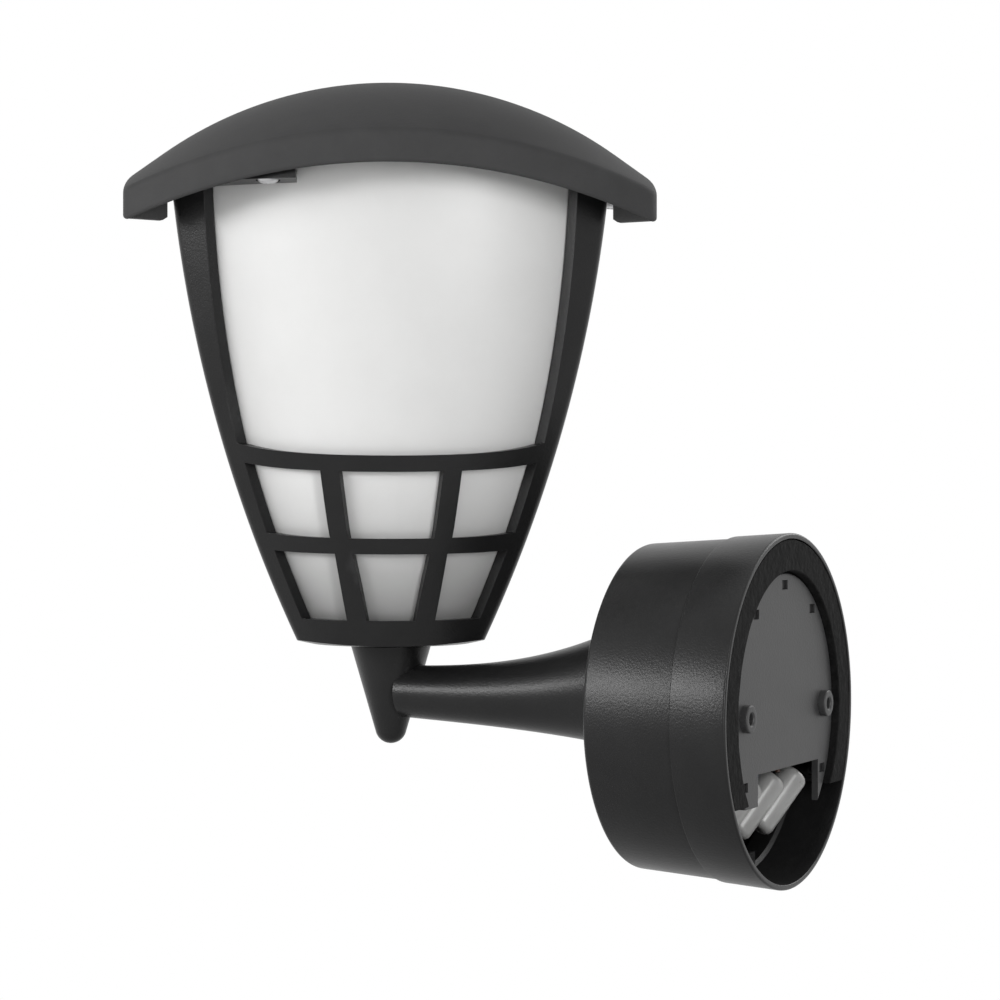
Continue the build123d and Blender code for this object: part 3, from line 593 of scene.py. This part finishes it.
def cageShell():
    halfKeys = np.concatenate([np.linspace(0, 1, 5)[:-1], np.linspace(1, 2, 4)[:-1],
                               np.linspace(2, 3, 16)[:-1], 3 + np.linspace(0, 1, 12)[:-1] ** 0.8])
    keys = np.concatenate([-np.append(halfKeys, 4.0)[:0:-1], halfKeys])
    faceOf = np.repeat(np.array(faceAngles), len(keys))
    keys = np.tile(keys, 3)
    cols = len(keys)
    # heights of the eight level lines, settled in a few rounds because the columns lean
    lines = np.array([22.0, 31.5, 57.8, 64.1, 90.2, 97.0, 204.0, 207.0])[:, None] * np.ones(cols)
    for settling in range(6):
        aside, ratio = cageAside(keys[None], lines)
        radius = outlineRadius(faceOf + aside, cageHalf(lines), cage["corner"])
        lines[0] = underHeight(radius[0])
        for row, (middle, rise, at) in enumerate(levels.values(), 1):
            lines[row] = middle + rise * (ratio[row] / at) ** 2
        lines[7] = domeHeight(radius[7]) - cage["topDrop"]
    steps = (3, 6, 2, 6, 2, 20, 3)
    rowKeys = np.append(np.concatenate([band + np.arange(count) / count
                                        for band, count in enumerate(steps)]), 7.0)
    band = np.minimum(rowKeys.astype(int), 6)
    share = (rowKeys - band)[:, None]
    height = lines[band] * (1 - share) + lines[band + 1] * share
    aside, ratio = cageAside(keys[None], height)
    angle = faceOf + aside
    outerRadius = outlineRadius(angle, cageHalf(height), cage["corner"])
    innerHeight = np.maximum(height, cage["floor"])
    innerRadius = outlineRadius(angle, cageHalf(innerHeight) - cage["wall"], cage["corner"])
    topBand = rowKeys > 6
    reachTop = domeHeight(innerRadius[-1]) - cage["topDrop"]
    innerHeight[topBand] += (reachTop - innerHeight[-1]) * (rowKeys[topBand] - 6)[:, None]
    outer = ringPoints(angle, outerRadius, height)
    inner = ringPoints(angle, innerRadius, innerHeight)
    # which cells are open
    rowMiddle = (rowKeys[:-1] + rowKeys[1:]) / 2
    nextKeys = np.roll(keys, -1)
    keyMiddle = np.abs(np.where(nextKeys < keys, 3.99, (keys + nextKeys) / 2))
    paneRow = ((rowMiddle > 1) & (rowMiddle < 2)) | ((rowMiddle > 3) & (rowMiddle < 4))
    paneCol = (keyMiddle < 1) | ((keyMiddle > 2) & (keyMiddle < 3))
    windowRow = (rowMiddle > 5) & (rowMiddle < 6)
    kept = ~((paneRow[:, None] & paneCol[None]) | (windowRow[:, None] & (keyMiddle < 3)[None]))
    rowCount = len(rowKeys)
    # corners 0..3 of a cell lie on the outer surface, 4..7 behind them on the inner one
    cells = gridFaces(rowCount, cols).reshape(rowCount - 1, cols, 4)
    cells = np.dstack([cells, cells + rowCount * cols])
    sideCols = kept != np.roll(kept, 1, axis=1)
    sideRows = kept[:-1] != kept[1:]
    faces = np.vstack([cells[kept][:, :4], cells[kept][:, [4, 7, 6, 5]], cells[sideCols][:, [0, 3, 7, 4]],
                       cells[1:][sideRows][:, [0, 1, 5, 4]], cells[-1][:, [3, 2, 6, 7]]]).tolist()
    points = np.vstack([outer.reshape(-1, 3), inner.reshape(-1, 3)])
    # underside and floor, from the rim to the middle hole and back inside
    rimRadius, flatTo = outerRadius[0], cage["flatTo"]
    under = []
    for share in np.linspace(0, 1, 5)[:-1]:
        radius = rimRadius + (flatTo - rimRadius) * share
        under.append((radius, underHeight(radius)))
    under += [(flatTo, cage["bottom"]), (cage["hole"], cage["bottom"]), (cage["hole"], cage["floor"]),
              (0.6 * flatTo, cage["floor"]), (innerRadius[0], innerHeight[0])]
    floorPoints, floorFaces = roundShell(angle[0], under)
    floorFaces = [[corner + len(points) for corner in face] for face in floorFaces]
    return np.vstack([points, floorPoints]), faces + floorFaces


# screw lugs beside the top of each face
lug = dict(start=-71.0, end=-35.0, bottom=195.8, top=203.0, half=96.3, seat=198.0, seatRadius=4.6, hole=2.3,
           edge=0.4)


def lugShell(angle):
    # the band between the cage's wall and a wider bowed line
    along = np.linspace(lug["start"], lug["end"], 19)

    def outAt(half):
        arcRadius = half * (1 + bow ** 2) / (2 * bow)
        return np.sqrt(arcRadius ** 2 - along ** 2) - (arcRadius - half * (1 / np.sqrt(3) + bow))

    inner = np.stack([along, outAt(cageHalf(199.0) - 2.0)], axis=1)
    outer = np.stack([along, outAt(lug["half"])], axis=1)
    return stripSlab(inner, outer, lug["bottom"], lug["top"], byFace(angle))


lugCuts = []
for spot in screwSpots:
    lugCuts.append(plug(lug["seatRadius"], 190, lug["seat"], spot, (0, 0, 1)))
    lugCuts.append(plug(lug["hole"], 190, 210, spot, (0, 0, 1), 32))

addPiece("cageFrame", "blackPlastic", "frame", [cageShell()], bevel=cage["edge"])
addPiece("cageLugs", "blackPlastic", "frame", [lugShell(angle) for angle in faceAngles], cuts=lugCuts,
         bevel=lug["edge"])
print("cage made")


# opal diffuser inside the cage
# the clear and fade values place the diffuser's painted shade: away from a face's middle, under the roof and
# low down
opal = dict(outside=4.4, inside=6.6, bottom=23.0, floor=25.0, topDrop=9.0, hole=12.5, clearAngle=30.0,
            fadeAngle=28.0, clearTop=165.0, fadeTop=45.0, clearLow=95.0, fadeLow=70.0)


def diffuserShell():
    # a cup: bottom hole, floor, outer wall up to the rim, inner wall down again
    angle = planAngles(26, 10)

    def outline(height, inset):
        return outlineRadius(angle, cageHalf(height) - inset, cage["corner"])

    def wall(inset, low, count):
        top = domeHeight(outline(205.0, inset)) - opal["topDrop"]
        heights = low + (top - low) * np.linspace(0, 1, count)[:, None] ** 0.9
        return [(outline(height, inset), height) for height in heights]

    low, floor = opal["bottom"], opal["floor"]
    edge = outline(low, opal["outside"])
    rows = [(opal["hole"], low), (edge - 1.6, low), (edge - 0.8, low + 0.25)]
    rows += wall(opal["outside"], low + 1.2, 36)
    rows += wall(opal["inside"], floor + 1.0, 24)[::-1]
    rows += [(outline(floor, opal["inside"]) - 1.2, floor), (opal["hole"], floor)]
    return roundShell(angle, rows, wrapRows=True)


def paintShadeOnOpal(piece):
    # painted shade: the diffuser's colour is darkened near the posts, under the roof and low down in the
    # narrow end, where shade falls;
    # the three shares are added, each a smooth step of the place
    count = len(piece.data.vertices)
    place = np.empty(count * 3)
    piece.data.vertices.foreach_get("co", place)
    x, y, z = (place.reshape(count, 3) / mm).T
    away = np.abs((np.degrees(np.arctan2(y - headY, x)) - faceAngles[0] + 60) % 120 - 60)
    beside = np.clip((away - opal["clearAngle"]) / opal["fadeAngle"], 0, 1) ** 2
    above = np.clip((z - opal["clearTop"]) / opal["fadeTop"], 0, 1) ** 2
    below = np.clip((opal["clearLow"] - z) / opal["fadeLow"], 0, 1) ** 1.5
    shade = piece.data.attributes.new("shade", "FLOAT", "POINT")
    shade.data.foreach_set("value", np.clip(0.4 * beside + 0.15 * above + 1.05 * below, 0, 1))


# the diffuser gets its painted shade as a mesh attribute
paintShadeOnOpal(addPiece("opalCup", "opalPlastic", "diffuser", [diffuserShell()], smoothAngle=50))
print("diffuser made")


# wall box sizes
box = dict(front=-56.8, seam=-21.5, cupFront=61.3, cupSeam=63.5, ringSeam=64.3, ringRear=65.7, wall=2.1,
           flangeFront=-7.3, flangeRear=-5.3, flangeInside=44.0, plate=50.8, plateRear=-2.8, boss=39.8,
           hole=2.25, notchLeft=-35.0, notchRight=27.0, notchTop=-21.0, gasketEnd=-31.0,
           plateCorner=-32.5, trayRear=-17.0, trayFront=-27.0, trayTop=-53.5, trayLeft=-6.0, trayRight=16.0,
           screwCircle=54.3, armRootZ=8.7)
wallOrigin, wallAxis = (0, 0, 0), (0, 1, 0)

# stations: distance from the lantern axis, top, bottom, width over height
arm = dict(stations=((7.0, 12.0, -8.7, 1.07), (40.0, 13.6, -10.4, 1.05), (79.5, 21.2, -13.5, 1.02),
                     (113.6, 35.6, -18.2, 1.0)),
           spigotTop=20.1, spigotRadius=16.1, spigotLow=-14.2, spigotLowRadius=6.2, tip=-19.4, channel=4.5,
           channelLow=1.7, channelEnd=-52.8)


def armShell():
    # oval sections between a top line and a bottom line, each one cubic through four stations
    stations = np.array(arm["stations"])
    topLine = np.polyfit(stations[:, 0], stations[:, 1], 3)
    lowLine = np.polyfit(stations[:, 0], stations[:, 2], 3)
    along = np.linspace(stations[0, 0], stations[-1, 0], 48)
    top, low = np.polyval(topLine, along), np.polyval(lowLine, along)
    middle, radius = (top + low) / 2, (top - low) / 2
    wide = radius * np.interp(along, stations[:, 0], stations[:, 3])
    turn = np.linspace(0, 2 * np.pi, 96, endpoint=False)
    grid = np.stack([wide[:, None] * np.cos(turn), np.broadcast_to((headY + along)[:, None], (48, 96)),
                     middle[:, None] + radius[:, None] * np.sin(turn)], axis=-1)
    flat, faces = gridShell(grid)
    faces.append(list(range(96))[::-1])
    faces.append([47 * 96 + col for col in range(96)])
    return flat, faces


def spigotShell():
    # a tapered plug with a ball tip
    drop = arm["spigotLow"] - arm["tip"]
    ball = (arm["spigotLowRadius"] ** 2 + drop ** 2) / (2 * drop)
    low = np.arcsin(arm["spigotLowRadius"] / ball)
    turn = np.linspace(low, 0, 14)
    tip = np.stack([ball * np.sin(turn), arm["tip"] + ball * (1 - np.cos(turn))], axis=1)
    upper = roundCorners([(0, arm["spigotTop"]), (arm["spigotRadius"], arm["spigotTop"]),
                          (arm["spigotLowRadius"] + 0.02, arm["spigotLow"])], [0, 0.5, 0])
    side = upper[-2] + (upper[-1] - upper[-2]) * np.linspace(0.03, 0.98, 24)[:, None]
    return turned(np.vstack([upper[:-1], side, tip]), headCentre, (0, 0, 1), 96)


# the wire channel: up through the spigot, and along the arm to the wall box
channel, channelLow = arm["channel"], arm["channelLow"]
armCuts = [turned([(0, channelLow), (channel, channelLow), (channel, 5.5), (5.0, 5.5), (5.0, 24), (0, 24)],
                  headCentre, (0, 0, 1), 40)]
channelAxis = np.array([0.0, arm["channelEnd"] - headY, box["armRootZ"] - channelLow])
armCuts.append(plug(channel, 0, np.linalg.norm(channelAxis) + 6, (0, headY, channelLow), channelAxis))
addPiece("armHorn", "blackPlastic", "arm", [armShell()], joins=[spigotShell()], cuts=armCuts, smoothAngle=35)
# flat seal between the spigot's top and the cage's underside
seal = dict(hole=5.2, radius=15.2, low=arm["spigotTop"], high=cage["bottom"], edge=0.3)
sealProfile = roundCorners([(seal["hole"], seal["low"]), (seal["radius"], seal["low"]),
                            (seal["radius"], seal["high"]), (seal["hole"], seal["high"])],
                           [0, seal["edge"], seal["edge"], 0], closed=True)
addPiece("spigotSeal", "sealRubber", "spigot_gasket",
         [turned(sealProfile, headCentre, (0, 0, 1), 64, closed=True)])
print("arm made")


# wall box: front cup, rear ring and what hangs on it
def cupShell():
    # flat front, rounded edge, slightly tapered side and a hollow back
    wall, front, seam, floor = box["wall"], box["front"], box["seam"], box["front"] + 2.5
    near, far = box["cupFront"], box["cupSeam"]
    profile = roundCorners([(0, front), (near - 4, front), (near, front), (far, seam), (far - wall, seam),
                            (near - wall, floor), (0, floor)], [0, 0, 2.4, 0.35, 0.3, 1.0, 0], steps=8)
    return turned(profile, wallOrigin, wallAxis, 144)


def ringShell():
    # outer band with a rounded rear edge and a lip that enters the cup
    wall, seam, lip = box["wall"], box["seam"], box["cupSeam"] - box["wall"] - 0.1
    rear = box["ringRear"] - wall
    profile = roundCorners([(box["ringSeam"], seam), (box["ringRear"], 0), (rear, 0),
                            (rear - 0.3, box["flangeRear"]), (rear - 0.5, box["flangeFront"]),
                            (box["ringSeam"] - wall - 1.2, seam + 3), (lip - 2.0, seam + 2),
                            (lip - 2.0, seam - 6), (lip - 0.5, seam - 6), (lip, seam)],
                           [0.35, 0.8, 0.4, 0, 0, 0.5, 0.3, 0.2, 0.4, 0], closed=True, steps=6)
    return turned(profile, wallOrigin, wallAxis, 144, closed=True)


def arcPoints(radius, angles):
    # (x, z) on a circle round the wall box's axis
    turn = np.radians(angles)
    return np.stack([radius * np.cos(turn), radius * np.sin(turn)], axis=1)


def flangeShell():
    # flat ring behind the plate, open over the notch and below the plate's corners
    edges = []
    for radius in (box["flangeInside"], box["ringRear"] - box["wall"] - 0.2):
        ends = [np.degrees(min(np.arccos(side / radius), np.arcsin(-box["plateCorner"] / radius)))
                for side in (box["notchRight"], -box["notchLeft"])]
        edges.append(arcPoints(radius, np.linspace(-ends[0], 180 + ends[1], 97)))
    return stripSlab(*edges, -box["flangeRear"], -box["flangeFront"], onWall)


def ledgeShell():
    # a small shelf between the ring's wall and the terminal block's foot
    across = np.linspace(box["trayLeft"], box["trayRight"], 13)
    top = np.stack([across, np.full(13, box["trayTop"])], axis=1)
    bottom = np.stack([across, -np.sqrt(62.4 ** 2 - across ** 2)], axis=1)
    return stripSlab(bottom, top, -box["trayRear"], -box["trayFront"], onWall)


hooks = dict(circle=46.5, angles=(52, 90, 128, 212, 328), width=5.4, height=3.5, gap=0.3)
hookSpots = arcPoints(hooks["circle"], hooks["angles"])


def hookShell(spot):
    # a snap hook that shows in its window
    wide, tall = hooks["width"] / 2 - hooks["gap"], hooks["height"] / 2 - hooks["gap"]
    inner = [spot + (-wide, -tall), spot + (wide, -tall)]
    outer = [spot + (-wide, tall), spot + (wide, tall)]
    return stripSlab(inner, outer, 3.6, 5.8, onWall)


postSpots = np.insert(arcPoints(box["screwCircle"], (90, 210, 330)), 1, 0, axis=1)


def postShell(spot):
    # screw post that stands on the cup's floor and ends under the flange
    hole, radius, root = 1.5, 3.9, box["front"] + 1.5
    profile = roundCorners([(hole, -30), (hole, box["flangeFront"]), (radius, box["flangeFront"]),
                            (radius, root), (hole, root)], [0, 0.3, 0.4, 0, 0], closed=True, steps=4)
    return turned(profile, spot, wallAxis, 32, closed=True)


wireHole = plug(7.0, -62, -50, (0, 0, box["armRootZ"]), wallAxis)
addPiece("wallCup", "blackPlastic", "wall_cup", [cupShell()], cuts=[wireHole], smoothAngle=35)
addPiece("cupPosts", "blackPlastic", "wall_cup", [postShell(spot) for spot in postSpots], smoothAngle=35)
addPiece("wallRing", "blackPlastic", "wall_ring", [ringShell()], smoothAngle=35)
insideShells = [flangeShell(), ledgeShell()] + [hookShell(spot) for spot in hookSpots]
addPiece("ringInside", "innerPlastic", "wall_ring", insideShells, smoothAngle=30)
print("wall box made")


def plateShell():
    edge, front, rear = box["plate"], box["flangeRear"], box["plateRear"]
    flat = edge - 1.2                                     # keeps the rounding out of the flat faces
    profile = roundCorners([(0, front), (flat, front), (edge, front), (edge, rear), (flat, rear), (0, rear)],
                           [0, 0, 0.3, 0.6, 0, 0], steps=5)
    return turned(profile, wallOrigin, wallAxis, 128)


plateCuts = [boxShell((box["notchLeft"], -10, -70), (box["notchRight"], 2, box["notchTop"])),
             boxShell((20, -10, -70), (70, 2, box["plateCorner"]))]
for spot in hookSpots:
    (left, low), (right, high) = [spot + side * np.array([hooks["width"], hooks["height"]]) / 2
                                  for side in (-1, 1)]
    plateCuts.append(boxShell((left, -8, low), (right, 1, high)))
plateCuts += [plug(4.0, -9, 2, (side * box["boss"], 0, 0), wallAxis) for side in (-1, 1)]
addPiece("rearPlate", "platePlastic", "rear_plate", [plateShell()], cuts=plateCuts, smoothAngle=30)


def bossRing(side):
    # screw boss that stands on the wall, with a countersunk hole
    hole, radius, front = box["hole"], 5.0, box["flangeRear"]
    profile = roundCorners([(hole, front), (radius, front), (radius, 0), (hole + 0.5, 0), (hole, -0.6)],
                           [0, 0.2, 0.5, 0.2, 0], closed=True, steps=5)
    return turned(profile, (side * box["boss"], 0, 0), wallAxis, 48, closed=True)


addPiece("plateBosses", "platePlastic", "rear_plate", [bossRing(-1), bossRing(1)], smoothAngle=35)


def foamShell():
    # an open ring of foam whose rear face is slightly uneven
    edges = []
    for radius in (box["plate"] + 0.9, box["ringRear"] - box["wall"] - 0.4):
        end = np.degrees(np.arcsin(-box["gasketEnd"] / radius))
        edges.append(arcPoints(radius, np.linspace(-end, 180 + end, 220)))
    flat, faces = stripSlab(*edges, 0.0, -box["flangeRear"], onWall, 9)
    dice = np.random.default_rng(7)
    wave = sum(np.sin(flat[:, 0] * a + flat[:, 2] * b + c) for a, b, c in dice.uniform(0.15, 0.9, (6, 3))) / 6
    rear = flat[:, 1] > -0.01
    flat[rear, 1] -= 0.22 + 0.18 * wave[rear]
    return flat, faces


addPiece("wallFoam", "foam", "wall_gasket", [foamShell()], bevel=0.5)
print("rear plate and foam made")


# terminal block: three leaning barrels
terminal = dict(middle=(-7.4, -18.3, -36.3), step=(12.5, -4.0, -0.8), lean=(-14.5, 10.2, 20.0), length=27.0,
                radius=5.9, entry=1.9, ends=5.8, screwOut=2.6, webHalf=(11, 6), webLow=-2.5, webHigh=1.0,
                footLeft=6, footRight=13, footLow=-53.6, footHigh=-45.5, footRear=20.5, footFront=26.0)
leanAxis = np.array(terminal["lean"]) / np.linalg.norm(terminal["lean"])
barrelSpots = [np.array(terminal["middle"]) + np.array(terminal["step"]) * turn for turn in (-1, 0, 1)]
stepAxis = np.array(terminal["step"]) / np.linalg.norm(terminal["step"])
screwAxis = np.cross(leanAxis, stepAxis)
screwAxis *= np.sign(screwAxis[1]) / np.linalg.norm(screwAxis)


def barrelShell(spot):
    half, radius = terminal["length"] / 2, terminal["radius"]
    profile = roundCorners([(0, -half), (radius, -half), (radius, half), (0, half)],
                           [0, terminal["ends"], terminal["ends"], 0], steps=10)
    return turned(profile, spot, leanAxis, 56)


def besideBarrels(points):
    # (along the row, along a barrel, towards the wall) to a place by the middle barrel
    return (np.array(terminal["middle"]) + points[..., 0:1] * stepAxis + points[..., 1:2] * leanAxis
            + points[..., 2:3] * screwAxis)


wide, tall = terminal["webHalf"]
webShell = stripSlab([(-wide, -tall), (wide, -tall)], [(-wide, tall), (wide, tall)], terminal["webLow"],
                     terminal["webHigh"], besideBarrels)
footEdges = [[(terminal["footLeft"], height), (terminal["footRight"], height)]
             for height in (terminal["footLow"], terminal["footHigh"])]
footShell = stripSlab(*footEdges, terminal["footRear"], terminal["footFront"], onWall)
barrelCuts = [plug(terminal["entry"], -20, -7, spot, leanAxis, 32) for spot in barrelSpots]
barrelCuts += [plug(terminal["entry"], 1, 8, spot, -screwAxis, 32) for spot in barrelSpots]
barrels = [barrelShell(spot) for spot in barrelSpots]
addPiece("terminalBlock", "terminalPlastic", "terminal_block", barrels[:1],
         joins=barrels[1:] + [webShell, footShell], cuts=barrelCuts, smoothAngle=35)
print("terminal block made")


def screwShell(spot, axis, headRadius, headHeight, shankRadius, shankLength, recess=1.7):
    # a pan head whose dome falls as the fourth power of the radius, with a cross-shaped
    # recess that deepens towards the middle; the axis points out of the head
    radius, steps = np.linspace(0, 1, 15) * headRadius, 48
    turn = np.linspace(0, 2 * np.pi, steps, endpoint=False)
    grid = radius[:, None] * np.ones(steps)
    x, y = grid * np.cos(turn), grid * np.sin(turn)
    crown = headHeight * (1 - 0.42 * (grid / headRadius) ** 4)
    slots = [np.clip(1 - np.abs(near) / 0.62, 0, 1) * np.clip(1.15 - np.abs(far) / recess, 0, 1)
             for near, far in ((x, y), (y, x))]
    crown -= np.minimum(np.maximum(*slots) * 2.6, 1.0) * 0.56 * headHeight
    axis, side, other = axisFrame(axis)
    points = spot + x[..., None] * side + y[..., None] * other + crown[..., None] * axis
    profile = np.array([(headRadius, headHeight * 0.3), (headRadius * 0.97, 0.0), (shankRadius, 0.0),
                        (shankRadius, -shankLength + shankRadius), (0.4, -shankLength), (0.0, -shankLength)])
    lower = turned(profile, spot, axis, steps)[0].reshape(-1, steps, 3)
    return gridShell(np.concatenate([points, lower]))


roofScrew = dict(headRadius=4.0, headHeight=3.4, shankRadius=1.95, shankLength=12.8)
boxScrew = dict(headRadius=3.0, headHeight=1.9, shankRadius=1.45, shankLength=25.5, recess=1.3)
terminalScrew = dict(headRadius=1.7, headHeight=1.2, shankRadius=1.2, shankLength=2.4, recess=0.8)
inRoof = [screwShell(spot + (0, 0, lug["seat"]), (0, 0, -1), **roofScrew) for spot in screwSpots]
addPiece("roofScrews", "zincSteel", "roof_screws", inRoof)
inBox = [screwShell(spot + (0, box["flangeRear"], 0), wallAxis, **boxScrew) for spot in postSpots]
addPiece("boxScrews", "zincSteel", "box_screws", inBox)
inBlock = [screwShell(spot - terminal["screwOut"] * screwAxis, -screwAxis, **terminalScrew)
           for spot in barrelSpots]
addPiece("terminalScrews", "zincSteel", "terminal_screws", inBlock)
print("screws made")


bulb = dict(centre=125.0, radius=30.0, shoulder=(26.0, 108.0), neck=14.3, neckTop=93.1, bottom=75.0,
            hollow=18)


def bulbShell():
    # a ball that runs into a neck through a hollow curve
    neck, low = bulb["neck"], bulb["bottom"]
    profile = roundCorners([bulb["shoulder"], (neck, bulb["neckTop"]), (neck, low), (0, low)],
                           [0, bulb["hollow"], 0.2, 0], steps=16)
    turn = np.radians(np.linspace(90, -35, 40))
    ball = bulb["radius"] * np.stack([np.cos(turn), np.sin(turn)], axis=1) + (0, bulb["centre"])
    ball[0, 0] = 0
    return turned(np.vstack([ball, profile[1:]]), headCentre, (0, 0, 1), 72)


addPiece("lampBulb", "lampGlass", "lamp_bulb", [bulbShell()], body="lamp", smoothAngle=50)
print("lamp made")


# CAD nodes that stay, with their finish
keptNodes = {
    "roof_gasket": "sealRubber", "lamp_cap": "lampMetal", "holder_shell": "holderPlastic",
    "holder_insert": "insertCeramic", "contact_shell": "brass", "centre_contact": "brass",
    "nipple": "zincSteel", "nipple_nut": "zincSteel", "nipple_washer": "zincSteel",
    "arm_screws": "zincSteel", "wire_live": "wireBrown", "wire_neutral": "wireBlue",
}
for nodeName, finishName in keptNodes.items():
    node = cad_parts[nodeName]
    node.data.materials.clear()
    node.data.materials.append(finish[finishName])
print("CAD nodes finished")


# floor, lights and world
stage = dict(floorLevel=-0.30, floorRadius=3.0, clearFrom=0.30, clearTo=0.75)


def seenRays(tree):
    # 1 for rays that reach the camera directly, by reflection or through something clear
    rays = tree.nodes.new("ShaderNodeLightPath")
    bent = calc(tree, "MAXIMUM", rays.outputs["Is Glossy Ray"], rays.outputs["Is Transmission Ray"])
    return calc(tree, "MAXIMUM", rays.outputs["Is Camera Ray"], bent)


def makeStage():
    # a flat pale disc, closer rings near the middle
    radius = np.linspace(0, 1, 24) ** 1.5 * stage["floorRadius"]
    turn = np.linspace(0, 2 * np.pi, 96, endpoint=False)
    grid = np.stack([radius[:, None] * np.cos(turn), radius[:, None] * np.sin(turn) - 0.1,
                     np.full((24, 96), stage["floorLevel"])], axis=-1) / mm
    floor = makePiece("floor", [gridShell(grid)])
    material = bpy.data.materials.new("paleFloor")
    material.use_nodes = True
    tree = material.node_tree
    shader = tree.nodes["Principled BSDF"]
    feed(tree, shader, {"Base Color": (0.7, 0.7, 0.7, 1.0), "Roughness": 0.8})
    white = tree.nodes.new("ShaderNodeEmission")
    away = tree.nodes.new("ShaderNodeVectorMath")
    away.operation = "LENGTH"
    feed(tree, away, {0: tree.nodes.new("ShaderNodeTexCoord").outputs["Object"]})
    fade = mapTo(tree, away.outputs["Value"], stage["clearFrom"], stage["clearTo"], 0.0, 1.0)
    mix = tree.nodes.new("ShaderNodeMixShader")
    feed(tree, mix, {0: calc(tree, "MULTIPLY", seenRays(tree), fade), 1: shader.outputs["BSDF"],
                     2: white.outputs["Emission"]})
    feed(tree, tree.nodes["Material Output"], {"Surface": mix.outputs["Shader"]})
    floor.data.materials.append(material)


def makeWorld(strength):
    world = bpy.data.worlds.new("studio")
    bpy.context.scene.world = world
    world.use_nodes = True
    tree = world.node_tree
    shine = mapTo(tree, seenRays(tree), 0.0, 1.0, strength, 1.0)
    feed(tree, tree.nodes["Background"], {"Color": (1.0, 1.0, 1.0, 1.0), "Strength": shine})


def softLight(name, place, target, size, power):
    data = bpy.data.lights.new(name, "AREA")
    data.shape = "RECTANGLE"
    data.size, data.size_y = size
    data.energy = power
    aimed(name, data, place, Vector(target) - Vector(place))


# each light: place, target, width and height, watts
lights = {
    "stripLight": ((0.80, 1.15, 0.30), (0, -0.12, 0.08), (0.2, 0.6), 10.5),
    "sideLight": ((1.26, -1.02, 0.42), (0, -0.08, 0.05), (1.25, 0.3), 21.0),
    "cameraLight": ((1.30, 0.72, 0.85), (0, -0.15, 0.12), (0.7, 0.5), 2.5),
    "topLight": ((0.2, -0.1, 1.6), (0, -0.12, 0.08), (1.2, 1.2), 2.0),
    "backLight": ((-1.3, 0.5, 0.8), (0, -0.12, 0.08), (1.0, 1.0), 9.0),
}
makeStage()
makeWorld(0.19)
for lightName, settings in lights.items():
    softLight(lightName, *settings)
bpy.context.scene.view_settings.view_transform = "Standard"
print("stage and lights set")
